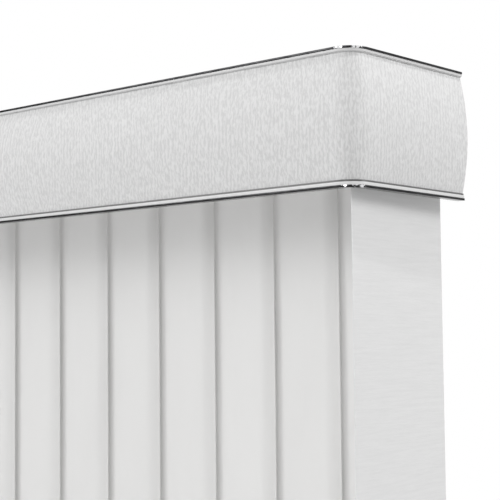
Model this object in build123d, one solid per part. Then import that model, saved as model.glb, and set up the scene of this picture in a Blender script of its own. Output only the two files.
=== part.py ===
from build123d import *
import os
from math import cos, pi, radians, sin

# Vertical blind, fixed to a wall, with a deep valance that returns to the wall at both ends.
# Millimetres. X runs to the right as seen from the room, Y runs into the wall, Z is up.
# The origin is on the wall face, midway between the two screw holes of the centre bracket.

# Vanes
vane_count = 9
vane_width = 89.0
vane_length = 1160.0
vane_thickness = 0.8
vane_camber = 0.6
vane_pitch = 79.5
stack_pitch = 24.0
closed_angle = 5.0
vane_corner = 4.0
vane_axis_to_wall = 55.0
vane_top = -27.0
hole_drop = 8.0
hole_width = 13.0
hole_height = 3.6

# Valance
valance_height = 120.0
valance_depth = 170.0
valance_top = 22.0
valance_corner = 20.0
valance_section = 8.0
valance_wall_gap = 1.0
lip_height = 4.5
lip_wall = 1.2
back_leg = 14.0
trim_thickness = 0.5
trim_face = 1.6
insert_thickness = 1.0
insert_bow = 4.6
insert_play = 0.5
keeper_height = 5.5

# Return vanes
return_inset = 18.0
return_width = 143.0
return_front_gap = 15.5
return_end_gap = 5.9
return_turn = 2.0
return_peg_spacing = 90.0
return_peg_radius = 2.0
return_peg_drop = 8.0
hanger_wall = 3.0
hanger_recess = 1.5
hanger_pad_height = -4.0

# Headrail
rail_width = 50.0
rail_height = 28.0
rail_top = 8.0
rail_wall = 1.2
rail_bead = 1.6
rail_slot = 17.0
rail_end_gap = 8.0

# Brackets and clips
bracket_width = 40.0
bracket_thickness = 2.0
bracket_drop = 22.0
bracket_spacing = 260.0
wall_hole_spacing = 24.0
wall_hole_radius = 2.4
clip_thickness = 1.5
clip_width = 26.0
clip_screw_radius = 2.0
clip_screw_head = 3.8
valance_clip_width = 24.0
valance_clip_wall = 2.0
valance_clip_offset = 60.0

# Carriers, worms and stems
carrier_gap = 1.0
carrier_half_width = 18.0
carrier_floor = 3.0
carrier_top = 1.2
carrier_rail_gap = 1.0
wheel_radius = 5.0
wheel_width = 3.0
wheel_base = 13.0
collar_radius = 7.8
collar_drop = 1.5
stem_radius = 3.0
running_gap = 0.1
loose_gap = 0.3
pinion_teeth = 10
gear_module = 1.25
pinion_tip = 6.9
pinion_height = 8.0
pinion_root_half = 1.05
pinion_tip_half = 0.55
worm_pitch_radius = 4.6
worm_root = 3.75
worm_tip = 5.4
worm_length = 11.0
thread_turns = 2
thread_root_half = 1.0
thread_tip_half = 0.45
rod_radius = 2.9
rod_groove = 0.8
rod_grooves = 3
fork_half = 5.0
fork_play = 0.1
fork_wall = 0.7
link_width = 6.0
link_thickness = 0.4
link_levels = 4
link_step = 1.0
link_overrun = 4.0

# Wand
wand_reach = 56.0
wand_radius = 5.0
wand_length = 620.0
wand_grip_length = 110.0
wand_grip_radius = 7.0
wand_arm_width = 14.0
wand_arm_height = 4.0
lead_extension = 20.0
spindle_radius = 3.5
hook_wire = 1.2
hook_bend = 2.4
hook_drop = 16.0

# Places worked out from the sizes above
axis_y = -vane_axis_to_wall
half_turn = vane_width / 2 * cos(radians(closed_angle))
first_stem = -(vane_count - 1) * vane_pitch / 2
stem_places = [first_stem + i * vane_pitch for i in range(vane_count)]
return_plane = -first_stem + half_turn + return_end_gap + vane_thickness / 2
valance_half = return_plane + return_inset
front_y = -valance_depth
valance_bottom = valance_top - valance_height
valance_middle = valance_top - valance_height / 2
rail_front = axis_y - rail_width / 2
rail_back = axis_y + rail_width / 2
rail_bottom = rail_top - rail_height
rail_half = return_plane - rail_end_gap
rail_floor = rail_bottom + rail_wall
hanger_face = return_plane - vane_thickness / 2 - loose_gap
carrier_length = stack_pitch - carrier_gap
carrier_bottom = rail_floor + carrier_rail_gap
pinion_bottom = carrier_bottom + carrier_floor + running_gap * 2
pinion_pitch = gear_module * pinion_teeth / 2
worm_y = axis_y - pinion_pitch - worm_pitch_radius
worm_z = pinion_bottom + pinion_height / 2
bracket_places = [-bracket_spacing, 0.0, bracket_spacing]


def box(x, y, z):
    """A block between two values along each axis."""
    size = (x[1] - x[0], y[1] - y[0], z[1] - z[0])
    centre = ((x[0] + x[1]) / 2, (y[0] + y[1]) / 2, (z[0] + z[1]) / 2)
    return Pos(*centre) * Box(*size)


def upright(x, y, z, radius):
    """A round post between two heights."""
    return Pos(x, y, (z[0] + z[1]) / 2) * Cylinder(radius, z[1] - z[0])


def along_x(x, y, z, radius):
    """A round bar parallel to the headrail."""
    return Pos((x[0] + x[1]) / 2, y, z) * Rot(0, 90, 0) * Cylinder(radius, x[1] - x[0])


def along_y(x, y, z, radius):
    """A round bar square to the wall."""
    return Pos(x, (y[0] + y[1]) / 2, z) * Rot(90, 0, 0) * Cylinder(radius, y[1] - y[0])


def prism(points, x):
    """A straight piece along X with its section given as (y, z) points."""
    face = make_face(Polyline(points, close=True))
    return extrude(Plane.YZ.offset(x[0]) * face, x[1] - x[0])


def save(name, solids):
    """Write one sub-part, which may be a group of like solids."""
    shape = solids if not isinstance(solids, list) else Compound(children=solids)
    shape.label = name
    export_step(shape, f"parts/{name}.step")


def round_valance(face):
    """Sweep a section, given as outward distance and height, round both returns and the front."""
    corners = [
        (valance_half, -valance_wall_gap),
        (valance_half, front_y),
        (-valance_half, front_y),
        (-valance_half, -valance_wall_gap),
    ]
    path = FilletPolyline(*corners, radius=valance_corner)
    start = Plane(origin=(*corners[0], 0), x_dir=(1, 0, 0), z_dir=(0, -1, 0))
    return sweep(start * face, path=path)


def valance_rail(top, way):
    """White rail along one edge of the valance: front lip, web, keeper rib and back leg."""
    edge = top - way * trim_thickness
    lip = -trim_thickness
    web = edge - way * lip_wall
    rib = lip - lip_wall - insert_thickness - 2 * insert_play
    back = -valance_section
    points = [
        (lip, edge),
        (lip, top - way * lip_height),
        (lip - lip_wall, top - way * lip_height),
        (lip - lip_wall, web),
        (rib, web),
        (rib, top - way * keeper_height),
        (rib - lip_wall, top - way * keeper_height),
        (rib - lip_wall, web),
        (back + lip_wall, web),
        (back + lip_wall, top - way * back_leg),
        (back, top - way * back_leg),
        (back, edge),
    ]
    return round_valance(make_face(Polyline(points, close=True)))


def valance_trim(top, way):
    """Bright strip snapped over the outer edge of a valance rail."""
    points = [
        (0, top),
        (0, top - way * trim_face),
        (-trim_thickness, top - way * trim_face),
        (-trim_thickness, top - way * trim_thickness),
        (-valance_section, top - way * trim_thickness),
        (-valance_section, top),
    ]
    return round_valance(make_face(Polyline(points, close=True)))


def valance_insert():
    """Sheet held in the two rails: flat in the channels and bowed outward between the lips."""
    seat = -trim_thickness - lip_wall - insert_play
    end = valance_height / 2 - trim_thickness - lip_wall - insert_play / 2
    bend = valance_height / 2 - lip_height
    middle = valance_middle
    lines = []
    for face_u in (seat, seat - insert_thickness):
        crown = face_u + insert_bow - seat
        lines.append(Line((face_u, middle + end), (face_u, middle + bend)))
        lines.append(ThreePointArc((face_u, middle + bend), (crown, middle), (face_u, middle - bend)))
        lines.append(Line((face_u, middle - bend), (face_u, middle - end)))
    lines.append(Line((seat, middle + end), (seat - insert_thickness, middle + end)))
    lines.append(Line((seat, middle - end), (seat - insert_thickness, middle - end)))
    return round_valance(make_face(lines))


def headrail():
    """Aluminium channel, open along the bottom, with a bead along each top edge for the clips."""
    half = rail_width / 2
    slot = rail_slot / 2
    right = [
        (0, rail_top),
        (half + rail_bead, rail_top),
        (half + rail_bead, rail_top - rail_wall),
        (half, rail_top - rail_wall),
        (half, rail_bottom),
        (slot, rail_bottom),
        (slot, rail_floor),
        (half - rail_wall, rail_floor),
        (half - rail_wall, rail_top - rail_wall),
        (0, rail_top - rail_wall),
    ]
    points = right + [(-y, z) for y, z in reversed(right[1:-1])]
    points = [(axis_y + y, z) for y, z in points]
    return prism(points, (-rail_half, rail_half))


def end_cap(side):
    """Moulded cap: face plate, plug ribs inside the channel and a bearing for the tilt rod."""
    plate = 2.5
    plug = 7.0
    inner = rail_width / 2 - rail_wall - loose_gap
    face = side * rail_half
    outside = face + side * plate
    inside = face - side * plug
    low = rail_bottom - 0.5
    high = rail_top + 0.5
    cap = box(sorted((face, outside)), (rail_front - 2, rail_back + 2), (low, high))
    cap = fillet(cap.edges().filter_by(Axis.X), 2.0)
    span = sorted((face, inside))
    for rib_y in (axis_y - inner, axis_y + inner - 1.5):
        cap += box(span, (rib_y, rib_y + 1.5), (rail_floor + loose_gap, rail_top - rail_wall - loose_gap))
    roof = rail_top - rail_wall - loose_gap
    cap += box(span, (axis_y - inner, axis_y + inner), (roof - 1.5, roof))
    cap += along_x(span, worm_y, worm_z, rod_radius + 2.0)
    cap -= along_x(sorted((face - side * (plug + 1), face + side * 0.5)), worm_y, worm_z, rod_radius + running_gap)
    cap -= along_x(sorted((face - side * (plug + 1), outside + side)), axis_y + 8, -4, 1.3)
    return cap


def wall_bracket(x):
    """Steel angle: two screw holes on the wall leg, one clip screw hole on the arm over the rail."""
    low = rail_top + clip_thickness
    high = low + bracket_thickness
    tip = rail_front - 6
    points = [
        (0, high),
        (0, -bracket_drop),
        (-bracket_thickness, -bracket_drop),
        (-bracket_thickness, low),
        (tip, low),
        (tip, high),
    ]
    bracket = prism(points, (x - bracket_width / 2, x + bracket_width / 2))
    inner_bend = bracket.edges().filter_by(Axis.X).sort_by_distance((x, -bracket_thickness, low))[0]
    bracket = fillet(inner_bend, bracket_thickness)
    outer_bend = bracket.edges().filter_by(Axis.X).sort_by_distance((x, 0, high))[0]
    bracket = fillet(outer_bend, 2 * bracket_thickness)
    corners = bracket.edges().filter_by(Axis.Z).group_by(Axis.Y)[0]
    bracket = fillet(corners, 6.0)
    for hole_x in (x - wall_hole_spacing / 2, x + wall_hole_spacing / 2):
        bracket -= along_y(hole_x, (-10, 10), 0, wall_hole_radius)
    bracket -= upright(x, axis_y, (low - 1, high + 1), clip_screw_radius + 0.2)
    return bracket


def rail_clip(x):
    """Spring steel clip on the arm of a bracket, hooked under both beads of the headrail."""
    out = rail_width / 2 + rail_bead + 0.2
    top = rail_top + clip_thickness
    under = rail_top - rail_wall - 0.2
    right = [
        (0, top),
        (out + clip_thickness, top),
        (out + clip_thickness, under - clip_thickness),
        (rail_width / 2 + 0.3, under - clip_thickness),
        (rail_width / 2 + 0.3, under),
        (out, under),
        (out, rail_top),
        (0, rail_top),
    ]
    points = right + [(-y, z) for y, z in reversed(right[1:-1])]
    points = [(axis_y + y, z) for y, z in points]
    clip = prism(points, (x - clip_width / 2, x + clip_width / 2))
    return clip - upright(x, axis_y, (rail_top - 1, top + 1), clip_screw_radius + 0.2)


def clip_screw(x):
    """Pan-head screw through the bracket into the rail clip."""
    seat = rail_top + clip_thickness + bracket_thickness
    head = upright(x, axis_y, (seat, seat + 2.4), clip_screw_head)
    head = chamfer(head.edges().group_by(Axis.Z)[-1], 1.0)
    head -= box((x - 0.5, x + 0.5), (axis_y - 5, axis_y + 5), (seat + 1.5, seat + 4))
    return head + upright(x, axis_y, (rail_top + 0.1, seat), clip_screw_radius)


def valance_clip(x):
    """Arm from the headrail to the valance, with a back plate that hooks onto both valance rails."""
    wall = valance_clip_wall
    back = front_y + valance_section
    top_tab = valance_top - back_leg
    low_tab = valance_bottom + back_leg
    arm_low = rail_top
    points = [
        (rail_front + 14, arm_low + wall),
        (back + wall, arm_low + wall),
        (back + wall, valance_top - 3),
        (back, valance_top - 3),
        (back, top_tab),
        (back - 3, top_tab),
        (back - 3, top_tab - wall),
        (back, top_tab - wall),
        (back, low_tab + wall),
        (back - 3, low_tab + wall),
        (back - 3, low_tab),
        (back, low_tab),
        (back, valance_bottom + 3),
        (back + wall, valance_bottom + 3),
        (back + wall, arm_low - 14),
        (back + wall + 14, arm_low),
        (rail_front - rail_bead - wall - 0.2, arm_low),
        (rail_front - rail_bead - wall - 0.2, arm_low - 6),
        (rail_front - rail_bead - 0.2, arm_low - 6),
        (rail_front - rail_bead - 0.2, arm_low),
        (rail_front + 14, arm_low),
    ]
    return prism(points, (x - valance_clip_width / 2, x + valance_clip_width / 2))


def turn_return(piece, side):
    """Turn an end piece about its middle, so that its front edge lies nearer the valance's return."""
    pivot = Pos(side * return_plane, front_y + return_front_gap + return_width / 2, 0)
    return pivot * Rot(0, 0, side * return_turn) * pivot.inverse() * piece


def return_vane(side):
    """Flat panel that closes the end of the blind, hung on two pegs inside the valance return."""
    front = front_y + return_front_gap
    high = vane_top + return_peg_drop
    x = sorted((side * (return_plane - vane_thickness / 2), side * (return_plane + vane_thickness / 2)))
    panel = box(x, (front, front + return_width), (vane_top - vane_length, high))
    panel = fillet(panel.edges().filter_by(Axis.X), vane_corner)
    middle = front + return_width / 2
    for peg_y in (middle - return_peg_spacing / 2, middle + return_peg_spacing / 2):
        panel -= along_x((x[0] - 1, x[1] + 1), peg_y, high - return_peg_drop, return_peg_radius + 0.2)
    return turn_return(panel, side)


def return_hanger(side):
    """Moulded arm screwed to the end cap, with a peg near each end for the return vane."""
    cap_face = rail_half + 2.5
    inner = hanger_face - hanger_wall
    middle = front_y + return_front_gap + return_width / 2
    reach = return_peg_spacing / 2 + 8
    pad_y = (axis_y - 10, axis_y + 18)
    bar = box((inner, hanger_face), (middle - reach, middle + reach), (vane_top - 6, vane_top + 6))
    bar = fillet(bar.edges().filter_by(Axis.X), 5.0)
    bar += box((inner, hanger_face), pad_y, (vane_top, rail_bottom + 3))
    for peg_y in (middle - return_peg_spacing / 2, middle + return_peg_spacing / 2):
        bar += along_x((hanger_face, hanger_face + 3.4), peg_y, vane_top, return_peg_radius)
    bar = turn_return(bar, 1)
    bar += box((cap_face, hanger_face - hanger_recess), pad_y, (rail_bottom, rail_top - 4))
    bar -= along_x((cap_face - 1, return_plane), axis_y + 8, hanger_pad_height, 1.7)
    return bar if side > 0 else mirror(bar, about=Plane.YZ)


def hanger_screw(side):
    """Screw that holds a return hanger to its end cap."""
    face = hanger_face - hanger_recess
    screw = along_x((rail_half - 6, face), axis_y + 8, hanger_pad_height, 1.2)
    screw += along_x((face, face + 1.6), axis_y + 8, hanger_pad_height, 3.0)
    return screw if side > 0 else mirror(screw, about=Plane.YZ)


def rod_section(radius, groove):
    """Round bar with long grooves, as the tilt rod has, or the same shape a little larger."""
    face = Circle(radius)
    for k in range(rod_grooves):
        face -= Rot(0, 0, k * 360 / rod_grooves) * Pos(radius, 0) * Circle(groove)
    return face


def rod_plane(x):
    """Plane square to the tilt rod at one place along it."""
    return Plane(origin=(x, worm_y, worm_z), x_dir=(0, 1, 0), z_dir=(1, 0, 0))


def tilt_rod():
    """Grooved rod that runs the length of the headrail and turns every worm."""
    half = rail_half - 0.5
    return extrude(rod_plane(-half) * rod_section(rod_radius, rod_groove), 2 * half)


def worm_thread():
    """One right-handed thread, standing between the pinion's teeth where the vane is closed."""
    lead = pi * gear_module
    mesh = -pinion_pitch * sin(radians(closed_angle))
    low = mesh - lead * thread_turns / 2
    path = Helix(lead, lead * thread_turns, worm_root)
    depth = 0.3
    rise = worm_tip - worm_root
    section = Polygon(
        (-depth, -thread_root_half),
        (rise, -thread_tip_half),
        (rise, thread_tip_half),
        (-depth, thread_root_half),
        align=None,
    )
    start = Plane(origin=path @ 0, x_dir=(1, 0, 0), z_dir=path % 0)
    thread = sweep(start * section, path=path, is_frenet=True)
    return Plane(origin=(low, 0, 0), x_dir=(0, 1, 0), z_dir=(1, 0, 0)) * thread


def worm(x):
    """Sleeve with a worm thread, which slides on the grooved rod and turns the stem's pinion."""
    half = carrier_length / 2 - 0.5
    body = along_x((x - half, x + half), worm_y, worm_z, worm_root)
    body += Pos(x, worm_y, worm_z) * worm_thread()
    bore = rod_section(rod_radius + running_gap, rod_groove - 2 * running_gap)
    return body - extrude(rod_plane(x - half - 1) * bore, 2 * half + 2)


def stem(x):
    """Toothed stem: pinion, shaft, flange and the forked clip that holds a vane."""
    top = pinion_bottom + pinion_height
    root = pinion_pitch + worm_pitch_radius - worm_tip - running_gap
    gear = Circle(root)
    sunk = root - 0.6
    for k in range(pinion_teeth):
        tooth = Polygon(
            (sunk, -pinion_root_half),
            (pinion_tip, -pinion_tip_half),
            (pinion_tip, pinion_tip_half),
            (sunk, pinion_root_half),
            align=None,
        )
        gear += Rot(0, 0, k * 360 / pinion_teeth) * tooth
    body = extrude(Pos(0, 0, pinion_bottom) * gear, pinion_height)
    flange_top = rail_bottom - collar_drop - loose_gap
    flange_low = flange_top - 1.5
    body += upright(0, 0, (flange_low, pinion_bottom), stem_radius)
    body += upright(0, 0, (pinion_bottom + pinion_height, top + 1.0), stem_radius)
    body += upright(0, 0, (flange_low, flange_top), 5.0)
    fork_low = vane_top - hole_drop - 6
    slot = vane_thickness / 2 + fork_play
    outer = slot + fork_wall
    fork = box((-fork_half, fork_half), (-outer, outer), (fork_low, flange_low))
    fork = fillet(fork.edges().filter_by(Axis.Y).group_by(Axis.Z)[0], fork_half - 1.5)
    fork -= box((-fork_half - 1, fork_half + 1), (-slot, slot), (fork_low - 1, vane_top + 0.2))
    body += fork
    hole_top = vane_top - hole_drop + hole_height / 2
    peg = prism([(-slot, hole_top), (slot - 0.1, hole_top), (-slot, hole_top - 2.6)], (-3, 3))
    body += peg
    return Pos(x, axis_y, 0) * Rot(0, 0, -closed_angle) * body


def vane(x):
    """Long cambered strip with a slot punched near its top edge."""
    half = vane_width / 2
    outer = vane_thickness / 2
    lines = []
    for shift in (-outer, outer):
        lines.append(ThreePointArc((-half, vane_camber + shift), (0, shift), (half, vane_camber + shift)))
    for edge in (-half, half):
        lines.append(Line((edge, vane_camber - outer), (edge, vane_camber + outer)))
    low = vane_top - vane_length
    strip = extrude(Pos(0, 0, low) * make_face(lines), vane_length)
    strip = fillet(strip.edges().filter_by(Axis.Y), vane_corner)
    slot = box((-hole_width / 2, hole_width / 2), (-2, 2), (-hole_height / 2, hole_height / 2))
    slot = fillet(slot.edges().filter_by(Axis.Y), hole_height / 2 - 0.1)
    strip -= Pos(0, 0, vane_top - hole_drop) * slot
    return Pos(x, axis_y, 0) * Rot(0, 0, -closed_angle) * strip


def carrier(x, number):
    """Moulded runner: wheels on the rail's flanges, a collar in its slot, worm and pinion inside."""
    half = carrier_length / 2
    y = (axis_y - carrier_half_width, axis_y + carrier_half_width)
    left = x - half - (lead_extension if number == 1 else 0)
    body = box((left, x + half), y, (carrier_bottom, carrier_top))
    body = chamfer(body.edges().filter_by(Axis.Y), 1.0)
    body += upright(x, axis_y, (rail_bottom - collar_drop, carrier_bottom), collar_radius)
    if number == 1:
        body += wand_arm(x)
    cavity = pinion_tip + loose_gap
    body -= upright(x, axis_y, (carrier_bottom + carrier_floor, carrier_top + 1), cavity)
    body -= upright(x, axis_y, (rail_bottom - collar_drop - 1, carrier_top), stem_radius + running_gap)
    room = worm_length / 2 + loose_gap
    body -= along_x((x - room, x + room), worm_y, worm_z, worm_tip + loose_gap)
    body -= along_x((left - 1, x + half + 1), worm_y, worm_z, worm_root + running_gap)
    for side in (-1, 1):
        face = axis_y + side * carrier_half_width
        for wheel_x in (x - wheel_base / 2, x + wheel_base / 2):
            wheel_z = rail_floor + loose_gap + wheel_radius
            near = face + side * loose_gap
            body += along_y(wheel_x, sorted((near, near + side * wheel_width)), wheel_z, wheel_radius)
            body += along_y(wheel_x, sorted((face - side * 0.5, near + side)), wheel_z, 1.5)
    if number > 1:
        body += spacer_link(x, number)
    return body


def spacer_link(x, number):
    """Thin strip that reaches from a carrier to the one before it, at one of four heights."""
    level = carrier_top + 0.6 + (number % link_levels) * link_step
    near = axis_y + 2
    far = near + link_width
    reach = vane_pitch + link_overrun
    strip = box((x - reach, x + 2), (near, far), (level, level + link_thickness))
    tab = box((x - 4, x + 2), (near, far + 4), (level, level + link_thickness))
    post = box((x - 4, x + 2), (far + 1, far + 4), (carrier_top - 0.5, level + link_thickness))
    return strip + tab + post


def wand_place():
    """Where the wand hangs: beside the first vane, clear of its swing."""
    return (first_stem - lead_extension / 2 - carrier_length / 2, axis_y - wand_reach)


def wand_arm(x):
    """Neck through the rail's slot and arm towards the room that the wand hangs from."""
    wand_x, wand_y = wand_place()
    low = rail_bottom - 1.5 - wand_arm_height
    half = wand_arm_width / 2
    neck_half = rail_slot / 2 - 0.8
    arm = box((wand_x - half, wand_x + half), (axis_y - neck_half, axis_y + neck_half), (low, carrier_bottom))
    arm += box((wand_x - half, wand_x + half), (wand_y, axis_y), (low, low + wand_arm_height))
    arm += upright(wand_x, wand_y, (low, low + wand_arm_height), half)
    return arm - upright(wand_x, wand_y, (low - 1, low + wand_arm_height + 1), spindle_radius + running_gap)


def wand_spindle():
    """Short turned pin in the wand arm, flanged on top, with an eye for the hook."""
    x, y = wand_place()
    low = rail_bottom - 1.5 - wand_arm_height
    pin = upright(x, y, (low - 10, low + wand_arm_height + 0.2), spindle_radius)
    pin += upright(x, y, (low + wand_arm_height + 0.2, low + wand_arm_height + 1.4), spindle_radius + 1.5)
    pin -= along_y(x, (y - 5, y + 5), hook_pivot(), hook_wire + loose_gap)
    return pin


def hook_pivot():
    """Height of the hook's bar in the spindle's eye."""
    return rail_bottom - 1.5 - wand_arm_height - 6


def wand_hook():
    """Bent wire: a tail crimped in the wand, then a loop that passes through the spindle's eye."""
    x, y = wand_place()
    pivot = hook_pivot()
    low = pivot - hook_drop
    reach = spindle_radius + loose_gap + 0.2 + hook_wire
    path = FilletPolyline(
        (x, y, low - 8),
        (x, y, low),
        (x, y - reach, low + 3),
        (x, y - reach, pivot),
        (x, y + reach, pivot),
        (x, y + reach, low + 5),
        radius=hook_bend,
    )
    start = Plane(origin=path @ 0, z_dir=path % 0)
    return sweep(start * Circle(hook_wire), path=path)


def wand():
    """Slim clear rod with a collar at the top and a thicker grip at the bottom."""
    x, y = wand_place()
    top = hook_pivot() - hook_drop - 2
    low = top - wand_length
    rod = Pos(x, y, (top + low) / 2) * extrude(RegularPolygon(wand_radius, 6), wand_length / 2, both=True)
    rod += upright(x, y, (top - 14, top), wand_radius + 0.8)
    grip = upright(x, y, (low, low + wand_grip_length), wand_grip_radius)
    rod += fillet(grip.edges().filter_by(GeomType.CIRCLE), 3.0)
    return rod - upright(x, y, (top - 8, top + 1), hook_wire + running_gap)


os.makedirs("parts", exist_ok=True)
save("headrail", headrail())
save("end_cap_left", end_cap(-1))
save("end_cap_right", end_cap(1))
for name, place in zip(("left", "centre", "right"), bracket_places):
    save(f"wall_bracket_{name}", wall_bracket(place))
save("rail_clips", [rail_clip(place) for place in bracket_places])
save("clip_screws", [clip_screw(place) for place in bracket_places])
save("valance_top_rail", valance_rail(valance_top, 1))
save("valance_bottom_rail", valance_rail(valance_bottom, -1))
save("valance_top_trim", valance_trim(valance_top, 1))
save("valance_bottom_trim", valance_trim(valance_bottom, -1))
save("valance_insert", valance_insert())
save("valance_clips", [valance_clip(place + valance_clip_offset) for place in bracket_places])
for name, side in (("left", -1), ("right", 1)):
    save(f"return_vane_{name}", return_vane(side))
    save(f"return_hanger_{name}", return_hanger(side))
save("hanger_screws", [hanger_screw(-1), hanger_screw(1)])
save("tilt_rod", tilt_rod())
for number, place in enumerate(stem_places, start=1):
    save("lead_carrier" if number == 1 else f"carrier_{number}", carrier(place, number))
    save(f"worm_{number}", worm(place))
    save(f"stem_{number}", stem(place))
    save(f"vane_{number}", vane(place))
save("wand_spindle", wand_spindle())
save("wand_hook", wand_hook())
save("wand", wand())
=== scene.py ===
import math

import bpy
from mathutils import Matrix, Vector


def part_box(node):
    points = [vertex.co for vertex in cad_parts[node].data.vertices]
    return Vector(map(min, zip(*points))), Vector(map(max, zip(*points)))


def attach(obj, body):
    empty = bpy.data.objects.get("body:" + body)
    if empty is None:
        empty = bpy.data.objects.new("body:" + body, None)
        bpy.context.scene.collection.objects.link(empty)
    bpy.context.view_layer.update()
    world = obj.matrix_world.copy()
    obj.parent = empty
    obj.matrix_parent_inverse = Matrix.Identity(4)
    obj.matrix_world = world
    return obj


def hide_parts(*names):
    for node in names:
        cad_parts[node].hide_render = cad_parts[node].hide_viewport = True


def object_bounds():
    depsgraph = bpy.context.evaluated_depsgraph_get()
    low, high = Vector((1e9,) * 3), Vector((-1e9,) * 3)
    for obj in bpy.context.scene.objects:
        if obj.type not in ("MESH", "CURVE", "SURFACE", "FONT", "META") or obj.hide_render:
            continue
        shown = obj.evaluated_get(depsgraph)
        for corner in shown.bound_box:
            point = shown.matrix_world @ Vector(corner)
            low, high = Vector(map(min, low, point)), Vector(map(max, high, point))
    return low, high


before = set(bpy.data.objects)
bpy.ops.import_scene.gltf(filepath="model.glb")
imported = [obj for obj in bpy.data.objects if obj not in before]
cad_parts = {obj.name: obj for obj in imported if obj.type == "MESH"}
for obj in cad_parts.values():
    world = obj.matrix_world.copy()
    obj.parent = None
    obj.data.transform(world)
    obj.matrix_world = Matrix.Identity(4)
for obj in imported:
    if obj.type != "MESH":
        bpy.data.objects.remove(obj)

cad_box = [list(corner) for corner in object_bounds()]
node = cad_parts
front_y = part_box("valance_top_trim")[0].y
half_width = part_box("valance_top_trim")[1].x
top_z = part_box("valance_top_trim")[1].z
bottom_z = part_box("valance_bottom_trim")[0].z

# The view: from the right of the blind and a little below its valance, through a long lens, so that the
# corner of the valance stands in the upper right of the picture.
LENS = 96.7
YAW = math.radians(41.21)
PITCH = math.radians(3.94)
ROLL = math.radians(-0.59)
FROM_CORNER = Vector((0.6635, -0.8903, -0.2487))

forward = Vector((-math.sin(YAW) * math.cos(PITCH), math.cos(YAW) * math.cos(PITCH), math.sin(PITCH)))
level = Vector((math.cos(YAW), math.sin(YAW), 0))
above = level.cross(forward)
right = level * math.cos(ROLL) + above * math.sin(ROLL)
up = above * math.cos(ROLL) - level * math.sin(ROLL)
camera = bpy.data.objects.new("camera", bpy.data.cameras.new("camera"))
camera.data.lens = LENS
camera.data.clip_start = 0.05
camera.data.clip_end = 60
turn = Matrix((right, up, -forward)).transposed().to_4x4()
camera.matrix_world = Matrix.Translation(Vector((half_width, front_y, top_z)) + FROM_CORNER) @ turn
bpy.context.scene.collection.objects.link(camera)
bpy.context.scene.camera = camera
bpy.context.scene.view_settings.view_transform = "Standard"


# Wall brackets: angles pressed from steel strip and zinc plated, each fixed to the wall with two screws.
# The plating shows as faint grey clouds, with fine rolling lines along the strip.
class Term:
    """One socket of a node tree, so that sums written on it add Math nodes."""

    def __init__(self, work, socket):
        self.work = work
        self.socket = socket

    def _sum(self, operation, *terms):
        return self.work.node("ShaderNodeMath", {"operation": operation}, dict(enumerate(terms)))

    def __add__(self, other):
        return self._sum("ADD", self, other)

    __radd__ = __add__

    def __mul__(self, other):
        return self._sum("MULTIPLY", self, other)

    __rmul__ = __mul__

    def __sub__(self, other):
        return self._sum("SUBTRACT", self, other)

    def __rsub__(self, other):
        return self._sum("SUBTRACT", other, self)

    def __truediv__(self, other):
        return self._sum("DIVIDE", self, other)

    def __pow__(self, other):
        return self._sum("POWER", self, other)

    def __gt__(self, other):
        return self._sum("GREATER_THAN", self, other)

    def __lt__(self, other):
        return self._sum("LESS_THAN", self, other)

    def __neg__(self):
        return self * -1

    def __abs__(self):
        return self._sum("ABSOLUTE", self)


class Work:
    """A node tree that is written as words and sums."""

    def node(self, kind, settings, inputs, output=0):
        """Add a node with its settings, and feed each socket a value or another node's result."""
        made = self.tree.nodes.new(kind)
        stops = settings.pop("stops", None)
        for key, value in settings.items():
            setattr(made, key, value)
        if stops:
            while len(made.color_ramp.elements) < len(stops):
                made.color_ramp.elements.new(0.5)
            for element, (position, colour) in zip(made.color_ramp.elements, stops):
                element.position = position
                element.color = colour
        for key, value in inputs.items():
            if isinstance(value, Term):
                self.tree.links.new(value.socket, made.inputs[key])
            else:
                made.inputs[key].default_value = value
        return Term(self, made.outputs[output])

    def vector(self, x, y, z):
        return self.node("ShaderNodeCombineXYZ", {}, {"X": x, "Y": y, "Z": z})

    def part_of(self, vector, axis):
        """The X, Y or Z of a vector."""
        return self.node("ShaderNodeSeparateXYZ", {}, {"Vector": vector}, axis)

    def noise(self, place, scale, stretch=(1, 1, 1), detail=2.0, roughness=0.5):
        """Soft noise at a place. A stretch below 1 draws it out along that axis."""
        where = self.node("ShaderNodeVectorMath", {"operation": "MULTIPLY"}, {0: place, 1: stretch})
        inputs = {"Vector": where, "Scale": scale, "Detail": detail, "Roughness": roughness}
        return self.node("ShaderNodeTexNoise", {}, inputs, 0)


class Finish(Work):
    """A material: its constants on the shader's own sockets, and what varies fed into them."""

    def __init__(self, name, **constants):
        self.material = bpy.data.materials.new(name)
        self.material.use_nodes = True
        self.tree = self.material.node_tree
        self.shader = self.tree.nodes["Principled BSDF"]
        for socket, value in constants.items():
            self.shader.inputs[socket.replace("_", " ")].default_value = value
        self.place = self.node("ShaderNodeTexCoord", {}, {}, "Object")

    def colour(self, factor, dark, light, low=0.3, high=0.7):
        """Run the base colour from dark to light as the factor goes from low to high."""
        stops = [(low, (*dark, 1)), (high, (*light, 1))]
        ramp = self.node("ShaderNodeValToRGB", {"stops": stops}, {"Fac": factor}, "Color")
        self.tree.links.new(ramp.socket, self.shader.inputs["Base Color"])

    def vary(self, socket, factor, low, high):
        """Let a socket run from low to high with the factor."""
        self.tree.links.new((factor * (high - low) + low).socket, self.shader.inputs[socket])

    def relief(self, height, depth):
        """Raise the surface by the height, at most this deep in metres."""
        bump = self.node("ShaderNodeBump", {}, {"Height": height, "Distance": depth, "Strength": 1.0})
        self.tree.links.new(bump.socket, self.shader.inputs["Normal"])

    def dress(self, *names):
        """Put the material on nodes that are shown as they come from the frame."""
        for name in names:
            for place in node[name].material_slots:
                place.material = self.material


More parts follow.
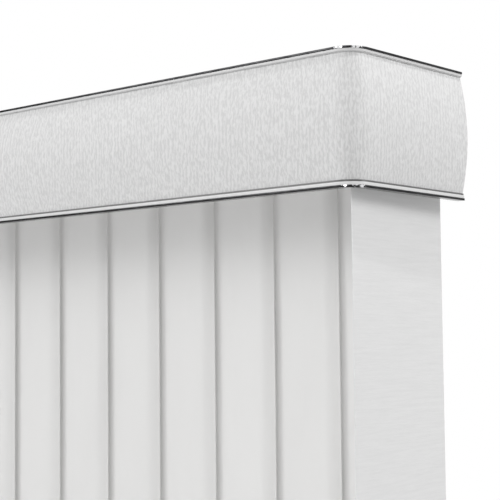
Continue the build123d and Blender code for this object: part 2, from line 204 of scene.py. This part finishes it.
zinc = Finish("zinc_plate", Metallic=1.0)
clouds = zinc.noise(zinc.place, 160, detail=4)
rolling = zinc.noise(zinc.place, 2600, stretch=(1, 0.03, 0.03))
zinc.colour(clouds, (0.46, 0.48, 0.50), (0.66, 0.67, 0.68))
zinc.vary("Roughness", clouds, 0.22, 0.46)
zinc.relief(clouds * 0.4 + rolling * 0.6, 0.00004)
zinc.dress("wall_bracket_left", "wall_bracket_centre", "wall_bracket_right")


# Rail clips: spring steel straps, bent to hook under both beads of the headrail and held up by one screw.
# The steel is darker than the brackets, blued a little by its heat treatment.
spring = Finish("spring_steel", Metallic=1.0)
heat = spring.noise(spring.place, 90, detail=3)
drawn = spring.noise(spring.place, 3000, stretch=(1, 0.03, 0.03))
spring.colour(heat, (0.22, 0.24, 0.27), (0.38, 0.39, 0.40))
spring.vary("Roughness", drawn, 0.24, 0.42)
spring.relief(drawn, 0.00003)
spring.dress("rail_clips")


# Screws: zinc-plated steel, one pan head through each bracket and one in each hanger of the return vanes.
# Their heads are rubbed by the driver, which leaves them brighter in patches.
screw = Finish("screw_steel", Metallic=1.0)
rubbed = screw.noise(screw.place, 700, detail=3)
screw.colour(rubbed, (0.44, 0.45, 0.46), (0.74, 0.75, 0.76), 0.4, 0.6)
screw.vary("Roughness", rubbed, 0.34, 0.16)
screw.relief(rubbed, 0.00005)
screw.dress("clip_screws", "hanger_screws")


# Headrail: an aluminium channel with a slot along its bottom, coated satin white.
# The coat has a faint orange peel, and long die lines from the extrusion show through it.
coat = Finish("white_coat", Metallic=0.0, IOR=1.5)
peel = coat.noise(coat.place, 900, detail=1)
lines = coat.noise(coat.place, 1400, stretch=(0.004, 1, 1), detail=3)
dust = coat.noise(coat.place, 26, detail=5)
coat.colour(dust, (0.77, 0.77, 0.76), (0.83, 0.83, 0.82))
coat.vary("Roughness", lines, 0.30, 0.44)
coat.relief(peel * 0.5 + lines * 0.5, 0.00004)
coat.dress("headrail")


# End caps and hangers: moulded in white plastic with the fine grain of a spark-eroded mould.
# The caps plug into the headrail and carry the rod, and a screw holds a hanger to each of them.
cap = Finish("moulded_plastic", IOR=1.49)
grain = cap.noise(cap.place, 2600, detail=2)
flow = cap.noise(cap.place, 60, stretch=(1, 1, 0.4), detail=3)
cap.colour(flow, (0.76, 0.76, 0.75), (0.82, 0.82, 0.81))
cap.vary("Roughness", grain, 0.40, 0.62)
cap.relief(grain, 0.00006)
cap.dress("end_cap_left", "end_cap_right", "return_hanger_left", "return_hanger_right", "wand_spindle")


# Tilt rod: drawn aluminium with three grooves, turned by the wand's gears, through every worm.
# Drawing leaves bright fine lines along it, and the worms rub it duller in places.
rod = Finish("drawn_aluminium", Metallic=1.0)
draw_lines = rod.noise(rod.place, 4000, stretch=(0.006, 1, 1), detail=2)
wear = rod.noise(rod.place, 40, stretch=(1, 0.2, 0.2), detail=3)
rod.colour(draw_lines, (0.60, 0.61, 0.62), (0.80, 0.81, 0.82))
rod.vary("Roughness", wear, 0.18, 0.42)
rod.relief(draw_lines, 0.00003)
rod.dress("tilt_rod")


# Carriers, worms and stems: moulded in self-lubricating acetal, a slightly waxy white that greys where it
# runs. The worms are a shade darker than the carriers, so that they can be told apart in assembly.
vane_numbers = range(1, 1 + sum(name.startswith("stem_") for name in node))
carriers = ["lead_carrier"] + [f"carrier_{n}" for n in vane_numbers if n > 1]
worms = [f"worm_{n}" for n in vane_numbers]
stems = [f"stem_{n}" for n in vane_numbers]
for name, dark, light, nodes in (
    ("carrier_acetal", (0.70, 0.70, 0.67), (0.79, 0.79, 0.76), carriers),
    ("worm_acetal", (0.55, 0.55, 0.52), (0.66, 0.66, 0.63), worms),
    ("stem_acetal", (0.74, 0.74, 0.72), (0.81, 0.81, 0.79), stems),
):
    acetal = Finish(name, IOR=1.48)
    wax = acetal.noise(acetal.place, 150, detail=4)
    skin = acetal.noise(acetal.place, 1800, detail=2)
    acetal.colour(wax, dark, light)
    acetal.vary("Roughness", wax, 0.30, 0.48)
    acetal.relief(skin, 0.00004)
    acetal.dress(*nodes)


# Valance clips: moulded arms that push onto the headrail and hook behind both rails of the valance.
# They are a greyer white than the rails, with the satin skin of polypropylene.
clip = Finish("clip_plastic", IOR=1.49)
satin = clip.noise(clip.place, 1500, detail=2)
sink = clip.noise(clip.place, 45, detail=2)
clip.colour(sink, (0.72, 0.72, 0.71), (0.80, 0.80, 0.79))
clip.vary("Roughness", satin, 0.36, 0.52)
clip.relief(satin * 0.3 + sink * 0.7, 0.00012)
clip.dress("valance_clips")


# Valance rails: two white extrusions, bent round both corners. Each has a front lip whose edge steps back to
# a shadowed groove beside the sheet, a rib that keeps the sheet there and a leg down the back. The groove is
# painted dark as well, painted shade in the recess, strongest on the bottom rail. The bottom lip is the
# taller one.
class Shaping(Work):
    """A Geometry Nodes tree with named sizes, run on a section or on nothing to make one plain mesh."""

    def __init__(self, name, *sizes):
        self.tree = bpy.data.node_groups.new(name, "GeometryNodeTree")
        sockets = self.tree.interface
        sockets.new_socket("Geometry", in_out="OUTPUT", socket_type="NodeSocketGeometry")
        sockets.new_socket("Geometry", in_out="INPUT", socket_type="NodeSocketGeometry")
        sockets.new_socket("Material", in_out="INPUT", socket_type="NodeSocketMaterial")
        for size in sizes:
            sockets.new_socket(size, in_out="INPUT", socket_type="NodeSocketFloat")
        self.given = self.tree.nodes.new("NodeGroupInput")
        self.result = self.tree.nodes.new("NodeGroupOutput")

    def size(self, name):
        """One of the tree's named inputs."""
        return Term(self, self.given.outputs[name])

    def end(self, shape):
        """Close the tree: plain geometry that wears the given material."""
        solid = self.node("GeometryNodeRealizeInstances", {}, {"Geometry": shape})
        inputs = {"Geometry": solid, "Material": self.size("Material")}
        dressed = self.node("GeometryNodeSetMaterial", {}, inputs)
        self.tree.links.new(dressed.socket, self.result.inputs[0])

    def make(self, name, finish, section=None, wall=0.0, **sizes):
        """Run the tree with these sizes, give the result its wall if any, and keep a plain mesh."""
        draft = bpy.data.objects.new(name, section or bpy.data.meshes.new(name))
        bpy.context.scene.collection.objects.link(draft)
        shape = draft.modifiers.new("shape", "NODES")
        shape.node_group = self.tree
        values = {key.replace("_", " "): value for key, value in sizes.items()}
        values["Material"] = finish.material
        for item in self.tree.interface.items_tree:
            if item.in_out == "INPUT" and item.name in values:
                shape[item.identifier] = values[item.name]
        if wall:
            sheet = draft.modifiers.new("wall", "SOLIDIFY")
            sheet.thickness = wall
            sheet.offset = 0.0
        graph = bpy.context.evaluated_depsgraph_get()
        mesh = bpy.data.meshes.new_from_object(draft.evaluated_get(graph))
        bpy.data.objects.remove(draft)
        mesh.shade_smooth()
        mesh.set_sharp_from_angle(angle=math.radians(34))
        piece = bpy.data.objects.new(name, mesh)
        bpy.context.scene.collection.objects.link(piece)
        return piece


def section_of(name, points):
    """A closed outline from (distance outward, height). Curve to Mesh lays x inwards and y downwards."""
    outline = bpy.data.meshes.new(name)
    edges = [(i, (i + 1) % len(points)) for i in range(len(points))]
    outline.from_pydata([(-out, -height, 0) for out, height in points], edges, [])
    return outline


VALANCE_CORNER = 0.020
WALL_GAP = 0.001
TRIM = 0.0005
TOP_LIP = 0.0050
BOTTOM_LIP = 0.0066
LIP_WALL = 0.0012
TOP_STEP = 0.0008
BOTTOM_STEP = 0.0016
STEP_DEPTH = 0.0007
STEP_SHARE = 0.55
SHEET = 0.001
SHEET_PLAY = 0.0005
KEEPER_HEIGHT = 0.0055
SECTION_DEPTH = 0.008
BACK_LEG = 0.014
DIE_ROUNDING = 0.0002
RAIL_PIECE = 0.0022
CORNER_POINTS = 24
EDGE_POINTS = 3

sweep = Shaping("round_the_valance", "Half Width", "Front", "Wall Gap", "Corner", "Step", "Edge", "Relief")
number = sweep.node("GeometryNodeInputIndex", {}, {})
side = 1 - 2 * (number > 1.5)
at_wall = abs(number - 1.5) > 1
place = sweep.vector(
    side * sweep.size("Half Width"),
    sweep.size("Front") * (1 - at_wall) - sweep.size("Wall Gap") * at_wall,
    0.0,
)
line = sweep.node("GeometryNodeCurvePrimitiveLine", {}, {})
line = sweep.node("GeometryNodeResampleCurve", {}, {"Curve": line, "Count": 4})
line = sweep.node("GeometryNodeSetPosition", {}, {"Geometry": line, "Position": place})
inputs = {"Curve": line, "Count": CORNER_POINTS, "Radius": sweep.size("Corner")}
line = sweep.node("GeometryNodeFilletCurve", {"mode": "POLY"}, inputs)
inputs = {"Curve": line, "Length": sweep.size("Step")}
line = sweep.node("GeometryNodeResampleCurve", {"mode": "LENGTH"}, inputs)
line = sweep.node("GeometryNodeSetCurveNormal", {"mode": "Z_UP"}, {"Curve": line})
outline = sweep.node("GeometryNodeMeshToCurve", {}, {"Mesh": sweep.size("Geometry")})
inputs = {"Curve": outline, "Count": EDGE_POINTS, "Radius": sweep.size("Edge"), "Limit Radius": True}
outline = sweep.node("GeometryNodeFilletCurve", {"mode": "POLY"}, inputs)
inputs = {"Curve": line, "Profile Curve": outline, "Fill Caps": True}
body = sweep.node("GeometryNodeCurveToMesh", {}, inputs)
spot = sweep.node("GeometryNodeInputPosition", {}, {})
crinkle = sweep.noise(spot, 330, stretch=(1, 1, 0.3)) - 0.5
normal = sweep.node("GeometryNodeInputNormal", {}, {})
inputs = {0: normal, "Scale": crinkle * sweep.size("Relief")}
push = sweep.node("ShaderNodeVectorMath", {"operation": "SCALE"}, inputs)
body = sweep.node("GeometryNodeSetPosition", {}, {"Geometry": body, "Offset": push})
sweep.end(body)
round_sizes = {
    "Half_Width": half_width,
    "Front": front_y,
    "Wall_Gap": WALL_GAP,
    "Corner": VALANCE_CORNER,
}

white = Finish("valance_white", IOR=1.5)
gloss = white.noise(white.place, 30, stretch=(1, 1, 0.4), detail=4)
die = white.noise(white.place, 900, stretch=(0.02, 0.02, 1), detail=2)
height = white.part_of(white.place, "Z")
# Painted shade: the groove bands beside the sheet get a dark base colour, fully on the bottom rail and about
# a third as much on the top one.
top_groove_painted_shade = abs(height - (top_z - TOP_LIP + TOP_STEP / 2)) < TOP_STEP * STEP_SHARE
bottom_groove_painted_shade = abs(height - (bottom_z + BOTTOM_LIP - BOTTOM_STEP / 2)) < BOTTOM_STEP * STEP_SHARE
outside_painted_shade = 1 - top_groove_painted_shade * 0.3 - bottom_groove_painted_shade
white.colour(gloss * 0.3 + outside_painted_shade * 0.7, (0.10, 0.10, 0.10), (0.72, 0.72, 0.72), 0.2, 0.8)
white.vary("Roughness", gloss, 0.22, 0.36)
white.relief(die, 0.00003)

for name, edge, way, lip_height, step in (
    ("top", top_z, 1, TOP_LIP, TOP_STEP),
    ("bottom", bottom_z, -1, BOTTOM_LIP, BOTTOM_STEP),
):
    lip = -TRIM
    web = edge - way * (TRIM + LIP_WALL)
    rib = lip - LIP_WALL - SHEET - 2 * SHEET_PLAY
    points = [
        (lip, edge - way * TRIM),
        (lip, edge - way * (lip_height - step)),
        (lip - STEP_DEPTH, edge - way * (lip_height - step)),
        (lip - STEP_DEPTH, edge - way * lip_height),
        (lip - LIP_WALL, edge - way * lip_height),
        (lip - LIP_WALL, web),
        (rib, web),
        (rib, edge - way * KEEPER_HEIGHT),
        (rib - LIP_WALL, edge - way * KEEPER_HEIGHT),
        (rib - LIP_WALL, web),
        (LIP_WALL - SECTION_DEPTH, web),
        (LIP_WALL - SECTION_DEPTH, edge - way * BACK_LEG),
        (-SECTION_DEPTH, edge - way * BACK_LEG),
        (-SECTION_DEPTH, edge - way * TRIM),
    ]
    section = section_of(f"rail_{name}", points)
    sizes = {**round_sizes, "Step": RAIL_PIECE, "Edge": DIE_ROUNDING, "Relief": 0.0}
    rail = sweep.make(f"valance_{name}_lipped_rail", white, section, **sizes)
    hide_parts(f"valance_{name}_rail")
    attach(rail, "frame")


# Bright trim: thin polished strips snapped over the outer edge of each rail. Their near-black base colour is
# a painted reflection of a dark room, a fine dark line round the valance, broken by painted bright glints
# where they are bent round the two corners.
TRIM_FACE = 0.0021
bright = Finish("bright_trim", Metallic=1.0)
ripple = bright.noise(bright.place, 60, detail=2)
rub = bright.noise(bright.place, 900, stretch=(0.1, 0.1, 1), detail=3)
along = abs(bright.part_of(bright.place, "X"))
inwards = bright.part_of(bright.place, "Y")
# Painted reflection: the base colour stays near black, with faint rubbing marks and painted bright glints in
# patches near both bent corners.
bent = (along > half_width - VALANCE_CORNER) * (inwards < front_y + VALANCE_CORNER)
painted_glint = bright.noise(bright.place, 260, detail=3) > 0.54
bright.colour(rub * 0.12 + bent * painted_glint * 0.9, (0.012, 0.012, 0.013), (0.72, 0.72, 0.73), 0.04, 0.95)
bright.vary("Roughness", rub, 0.08, 0.2)
bright.relief(ripple * 0.9 + rub * 0.1, 0.0001)
for name, edge, way in (("top", top_z, 1), ("bottom", bottom_z, -1)):
    points = [
        (0, edge),
        (0, edge - way * TRIM_FACE),
        (-TRIM, edge - way * TRIM_FACE),
        (-TRIM, edge - way * TRIM),
        (-SECTION_DEPTH, edge - way * TRIM),
        (-SECTION_DEPTH, edge),
    ]
    section = section_of(f"strip_{name}", points)
    sizes = {**round_sizes, "Step": RAIL_PIECE, "Edge": DIE_ROUNDING, "Relief": 0.0}
    strip = sweep.make(f"valance_{name}_bright_strip", bright, section, **sizes)
    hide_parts(f"valance_{name}_trim")
    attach(strip, "frame")


# Valance insert: a sheet pressed with a fine upright crinkle, like bark, and slid into the rails' grooves.
# It bows out between the lips. Its low ridges run in wavering columns, broken into short streaks, and its
# base colour is painted lighter on the ridges and darker in the hollows: painted shade that deepens the
# crinkle.
SHEET_BOW = 0.0046
SHEET_ROWS = 88
SHEET_PIECE = 0.00118
CRINKLE = 0.0004
COLUMN_SPACING = 0.0046
sheet_seat = -TRIM - LIP_WALL - SHEET_PLAY
sheet_end = (top_z - bottom_z) / 2 - TRIM - LIP_WALL - SHEET_PLAY / 2
sheet_bend = (top_z - bottom_z) / 2 - BOTTOM_LIP
middle_z = (top_z + bottom_z) / 2
front_points = []
for row in range(SHEET_ROWS + 1):
    height = sheet_end * (1 - 2 * row / SHEET_ROWS)
    bow = max(0.0, 1 - (height / sheet_bend) ** 2) * (SHEET_BOW - sheet_seat - CRINKLE / 2)
    front_points.append((sheet_seat + bow, middle_z + height))
back_points = []
for row in range(0, SHEET_ROWS + 1, 8):
    out, height = front_points[row]
    back_points.append((out - SHEET, height))

bark = Finish("crinkled_sheet", IOR=1.48)
around = abs(bark.part_of(bark.place, "X")) + bark.part_of(bark.place, "Y")
wander = bark.noise(bark.place, 110, stretch=(1, 1, 0.25), detail=1)
angle = around * (2 * math.pi / COLUMN_SPACING) + wander * 9
column = bark.node("ShaderNodeMath", {"operation": "SINE"}, {0: angle})
broken = bark.noise(bark.place, 760, stretch=(1, 1, 0.27), detail=2)
# One height field raises the bump and paints the base colour: painted shade, darker where the crinkle is
# low.
height_and_painted_shade = broken + column * (bark.noise(bark.place, 230, stretch=(1, 1, 0.4), detail=1) - 0.3) * 0.3
bark.colour(height_and_painted_shade, (0.655, 0.655, 0.655), (0.785, 0.785, 0.785), 0.40, 0.60)
bark.vary("Roughness", broken, 0.42, 0.62)
bark.relief(height_and_painted_shade, 0.0005)
section = section_of("insert", front_points + back_points[::-1])
sizes = {**round_sizes, "Step": SHEET_PIECE, "Edge": 0.0, "Relief": CRINKLE}
insert = sweep.make("valance_crinkled_insert", bark, section, **sizes)
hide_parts("valance_insert")
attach(insert, "frame")


# Vanes: strips of smooth off-white vinyl sheet, nearly flat and thin enough to let some light through. Each
# has rounded corners and a slot punched near its top, where the peg of its stem's fork holds it.
VANE_WIDTH = 0.089
VANE_SHEET = 0.0008
VANE_CAMBER = 0.0002
VANE_CORNER = 0.004
SLOT_DROP = 0.008
SLOT_WIDTH = 0.013
SLOT_HEIGHT = 0.0036
SLOT_CORNER = 0.0017
CLOSED_ANGLE = math.radians(4.3)
LOWEST_ROW = 0.02
ROW_MARGIN = 0.0002
COLUMNS = 179

outer_sizes = ("Width", "Length", "Camber", "Corner")
slot_sizes = ("Slot Drop", "Slot Width", "Slot Height", "Slot Corner")
hanging = ("Place X", "Place Y", "Top", "Turn")
punched = Shaping("cambered_vane", *outer_sizes, *slot_sizes, *hanging)
# A sheet of five rows of points: bottom end, a little above it, under the slot, over the slot, top end.
inputs = {"Size X": punched.size("Width"), "Size Y": 4.0, "Vertices X": COLUMNS, "Vertices Y": 5}
sheet = punched.node("GeometryNodeMeshGrid", {}, inputs)
spot = punched.node("GeometryNodeInputPosition", {}, {})
across = punched.part_of(spot, "X")
row = punched.part_of(spot, "Y") + 2
reach = abs(across)


def rounding(half, radius):
    """How far an outline falls back beside its corner of this radius, at each place across the sheet."""
    into = punched.node("ShaderNodeMath", {"operation": "MAXIMUM"}, {0: reach - (half - radius), 1: 0.0})
    into = punched.node("ShaderNodeMath", {"operation": "MINIMUM"}, {0: into, 1: radius})
    return radius - (radius**2 - into**2) ** 0.5


fall = rounding(punched.size("Width") * 0.5, punched.size("Corner"))
slot_fall = rounding(punched.size("Slot Width") * 0.5, punched.size("Slot Corner"))
opening = punched.size("Slot Height") * 0.5 - slot_fall
heights = [
    fall - punched.size("Length"),
    LOWEST_ROW - punched.size("Length"),
    -punched.size("Slot Drop") - opening,
    opening - punched.size("Slot Drop"),
    -fall,
]
height = heights[0]
for number in range(1, len(heights)):
    step_up = heights[number] - heights[number - 1]
    height = height + step_up * (row > number - 0.5)
camber = (across / (punched.size("Width") * 0.5)) ** 2 * punched.size("Camber")
inputs = {"Geometry": sheet, "Position": punched.vector(across, camber, height)}
sheet = punched.node("GeometryNodeSetPosition", {}, inputs)
spot = punched.node("GeometryNodeInputPosition", {}, {})
in_slot = abs(punched.part_of(spot, "Z") + punched.size("Slot Drop")) < ROW_MARGIN
in_slot = in_slot * (abs(punched.part_of(spot, "X")) < punched.size("Slot Width") * 0.5)
inputs = {"Geometry": sheet, "Selection": in_slot}
sheet = punched.node("GeometryNodeDeleteGeometry", {"domain": "FACE"}, inputs)
inputs = {
    "Geometry": sheet,
    "Translation": punched.vector(punched.size("Place X"), punched.size("Place Y"), punched.size("Top")),
    "Rotation": punched.vector(0.0, 0.0, punched.size("Turn")),
}
punched.end(punched.node("GeometryNodeTransform", {}, inputs))

translucent = {"Subsurface_Weight": 0.5, "Subsurface_Radius": (1, 1, 1), "Subsurface_Scale": 0.006}
vinyl = Finish("smooth_vinyl", IOR=1.5, **translucent)
pull = vinyl.noise(vinyl.place, 14, stretch=(1, 1, 0.15), detail=3)
matt = vinyl.noise(vinyl.place, 2400, detail=2)
vinyl.colour(pull, (0.765, 0.76, 0.75), (0.80, 0.795, 0.785))
vinyl.vary("Roughness", matt, 0.42, 0.55)
vinyl.relief(pull * 0.92 + matt * 0.08, 0.0003)
for n in vane_numbers:
    low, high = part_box(f"vane_{n}")
    stem_low, stem_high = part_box(f"stem_{n}")
    axis = (stem_low + stem_high) / 2
    sizes = dict(zip(outer_sizes, (VANE_WIDTH, high.z - low.z, VANE_CAMBER, VANE_CORNER)))
    sizes |= dict(zip(slot_sizes, (SLOT_DROP, SLOT_WIDTH, SLOT_HEIGHT, SLOT_CORNER)))
    sizes |= dict(zip(hanging, (axis.x, axis.y, high.z, -CLOSED_ANGLE)))
    vane = punched.make(f"cambered_vane_{n}", vinyl, wall=VANE_SHEET, **sizes)
    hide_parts(f"vane_{n}")
    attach(vane, f"hung_vane_{n}")


# Return vanes: flat stiff panels that close the ends, hung on two pegs inside the valance's returns.
# Their face is embossed with a fine level weave.
weave = Finish("woven_panel", IOR=1.5)
thread = weave.noise(weave.place, 1300, stretch=(1, 0.08, 1), detail=3)
slub = weave.noise(weave.place, 420, stretch=(1, 0.05, 1), detail=2)
weave.colour(slub * 0.6 + thread * 0.4, (0.745, 0.745, 0.745), (0.80, 0.80, 0.80))
weave.vary("Roughness", thread, 0.5, 0.66)
weave.relief(thread * 0.6 + slub * 0.4, 0.00012)
weave.dress("return_vane_left", "return_vane_right")


# Wand: a clear six-sided acrylic rod with a thicker grip, hung by a plated wire hook from the lead carrier.
# The rod is slightly milky, with fine handling marks on its faces.
acrylic = Finish("wand_acrylic", IOR=1.49, Coat_Weight=0.3, Coat_Roughness=0.05)
milk = acrylic.noise(acrylic.place, 50, stretch=(1, 1, 0.1), detail=3)
marks = acrylic.noise(acrylic.place, 1200, stretch=(1, 1, 0.1), detail=4)
acrylic.colour(milk, (0.76, 0.77, 0.78), (0.82, 0.83, 0.84))
acrylic.vary("Roughness", marks, 0.08, 0.22)
acrylic.relief(marks, 0.00003)
acrylic.dress("wand")

plated = Finish("plated_wire", Metallic=1.0)
bent = plated.noise(plated.place, 900, detail=3)
plated.colour(bent, (0.55, 0.56, 0.57), (0.74, 0.75, 0.76))
plated.vary("Roughness", bent, 0.14, 0.3)
plated.relief(bent, 0.00003)
plated.dress("wand_hook")


# Floor and light: a plain pale floor under the blind that fades to white far from it, an even white
# surround, two broad soft lamps at the front, a soft one at the right, and a small high one at the right
# that draws the edge of shadow on the return vane.
FLOOR_BELOW = 0.233
FLOOR_REACH = 14.0
FADE_START = 1.6
FADE_END = 4.5
SURROUND_LEVEL = 0.44


def lamp(name, aim, direction, distance, size, level):
    """A round lamp aimed at a point. A level of 1 lights a surface that faces it to its own colour."""
    light = bpy.data.lights.new(name, "AREA")
    light.shape = "DISK"
    light.size = size
    light.energy = level * (math.pi * distance) ** 2
    way = Vector(direction).normalized()
    facing = way.to_track_quat("Z", "Y").to_matrix().to_4x4()
    holder = bpy.data.objects.new(name, light)
    holder.matrix_world = Matrix.Translation(Vector(aim) + way * distance) @ facing
    bpy.context.scene.collection.objects.link(holder)


corner_point = (half_width, front_y, bottom_z)
lamp("front_left_lamp", (0, front_y, bottom_z), (-0.75, -1.0, 0.55), 8.0, 4.6, 0.30)
lamp("front_lamp", (0, front_y, bottom_z), (0.3, -1.0, 0.30), 8.0, 4.6, 0.16)
lamp("right_lamp", corner_point, (1.0, 0.7, 0.7), 4.0, 1.6, 0.40)
lamp("high_right_lamp", corner_point, (1.0, -0.3, 3.8), 4.0, 0.22, 0.28)


def seen(work):
    """1 for rays that the camera, a glossy surface or a clear one sends, else 0."""
    straight = work.node("ShaderNodeLightPath", {}, {}, "Is Camera Ray")
    mirrored = work.node("ShaderNodeLightPath", {}, {}, "Is Glossy Ray")
    through = work.node("ShaderNodeLightPath", {}, {}, "Is Transmission Ray")
    either = work.node("ShaderNodeMath", {"operation": "MAXIMUM"}, {0: straight, 1: mirrored})
    return work.node("ShaderNodeMath", {"operation": "MAXIMUM"}, {0: either, 1: through})


world = bpy.data.worlds.new("surround")
world.use_nodes = True
world.node_tree.nodes.clear()
bpy.context.scene.world = world
surround = Work()
surround.tree = world.node_tree
lighting = surround.node("ShaderNodeBackground", {}, {"Color": (1, 1, 1, 1), "Strength": SURROUND_LEVEL})
shown = surround.node("ShaderNodeBackground", {}, {"Color": (1, 1, 1, 1), "Strength": 1.0})
both = surround.node("ShaderNodeMixShader", {}, {0: seen(surround), 1: lighting, 2: shown})
surround.tree.links.new(both.socket, surround.tree.nodes.new("ShaderNodeOutputWorld").inputs["Surface"])

floor_mesh = bpy.data.meshes.new("floor")
ends = (-FLOOR_REACH, FLOOR_REACH)
floor_z = cad_box[0][2] - FLOOR_BELOW
floor_mesh.from_pydata([(x, y, floor_z) for x in ends for y in ends], [], [(0, 2, 3, 1)])
floor = bpy.data.objects.new("floor", floor_mesh)
bpy.context.scene.collection.objects.link(floor)
pale = Finish("pale_floor", Roughness=0.9, IOR=1.3)
pale.colour(pale.noise(pale.place, 3, detail=3), (0.80, 0.80, 0.80), (0.83, 0.83, 0.83))
from_middle = pale.node("ShaderNodeVectorMath", {"operation": "LENGTH"}, {0: pale.place}, "Value")
inputs = {"Value": from_middle, "From Min": FADE_START, "From Max": FADE_END}
far = pale.node("ShaderNodeMapRange", {"interpolation_type": "SMOOTHSTEP"}, inputs)
glow = pale.node("ShaderNodeEmission", {}, {"Color": (1, 1, 1, 1), "Strength": 1.0})
plain = Term(pale, pale.shader.outputs[0])
faded = pale.node("ShaderNodeMixShader", {}, {0: far * seen(pale), 1: plain, 2: glow})
pale.tree.links.new(faded.socket, pale.tree.nodes["Material Output"].inputs["Surface"])
floor_mesh.materials.append(pale.material)
